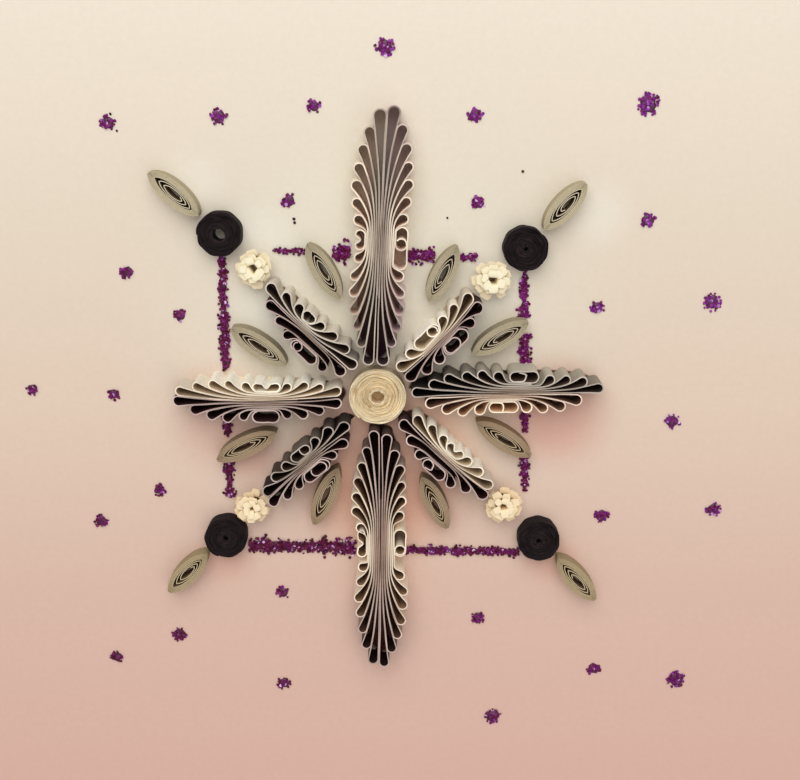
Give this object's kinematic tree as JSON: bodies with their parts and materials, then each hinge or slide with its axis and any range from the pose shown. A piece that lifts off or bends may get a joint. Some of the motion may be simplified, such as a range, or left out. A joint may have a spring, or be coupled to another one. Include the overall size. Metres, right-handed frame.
{
  "type": "quilled paper snowflake card",
  "caption": "Square card with a raised snowflake of comb-quilled petals, rolled coils, eye coils, fringed flowers and glitter glue.",
  "frame": {"origin": "under the middle of the card, on its back face, right below the centre coil", "axes": "+Z out of the card's decorated face, +Y to the top of the picture, +X to the picture's right"},
  "size_m": [0.18, 0.18, 0.0063],
  "materials": {
    "cream_card": "matt",
    "ivory_paper": "matt",
    "white_paper": "matt",
    "blush_paper": "matt",
    "grey_paper": "matt",
    "plum_paper": "matt",
    "slate_paper": "matt",
    "black_paper": "matt",
    "dark_coil_paper": "matt",
    "sage_paper": "matt",
    "purple_glitter": "dried glitter glue"
  },
  "bodies": {
    "root": {"backing_card": "cream_card", "centre_coil": "ivory_paper", "east_glitter_line_1": "purple_glitter", "east_glitter_line_2": "purple_glitter", "east_glitter_line_3": "purple_glitter", "east_glitter_line_4": "purple_glitter", "east_north_eye_coil": "sage_paper", "east_petal_lower": "blush_paper", "east_petal_upper": "slate_paper", "east_south_eye_coil": "sage_paper", "north_east_eye_coil": "sage_paper", "north_glitter_line_1": "purple_glitter", "north_glitter_line_2": "purple_glitter", "north_glitter_line_3": "purple_glitter", "north_glitter_line_4": "purple_glitter", "north_petal_left": "grey_paper", "north_petal_right": "plum_paper", "north_west_eye_coil": "sage_paper", "northeast_dark_coil": "dark_coil_paper", "northeast_flower": "white_paper", "northeast_outer_eye_coil": "sage_paper", "northeast_petal_lower": "black_paper", "northeast_petal_upper": "white_paper", "northwest_dark_coil": "dark_coil_paper", "northwest_flower": "white_paper", "northwest_outer_eye_coil": "sage_paper", "northwest_petal_lower": "black_paper", "northwest_petal_upper": "slate_paper", "south_east_eye_coil": "sage_paper", "south_glitter_line_1": "purple_glitter", "south_glitter_line_2": "purple_glitter", "south_petal_left": "grey_paper", "south_petal_right": "grey_paper", "south_west_eye_coil": "sage_paper", "southeast_dark_coil": "dark_coil_paper", "southeast_flower": "white_paper", "southeast_outer_eye_coil": "sage_paper", "southeast_petal_lower": "black_paper", "southeast_petal_upper": "white_paper", "southwest_dark_coil": "dark_coil_paper", "southwest_flower": "white_paper", "southwest_outer_eye_coil": "sage_paper", "southwest_petal_lower": "slate_paper", "southwest_petal_upper": "black_paper", "west_glitter_line_1": "purple_glitter", "west_glitter_line_2": "purple_glitter", "west_glitter_line_3": "purple_glitter", "west_north_eye_coil": "sage_paper", "west_petal_lower": "black_paper", "west_petal_upper": "white_paper", "west_south_eye_coil": "sage_paper"}
  },
  "joints": []
}
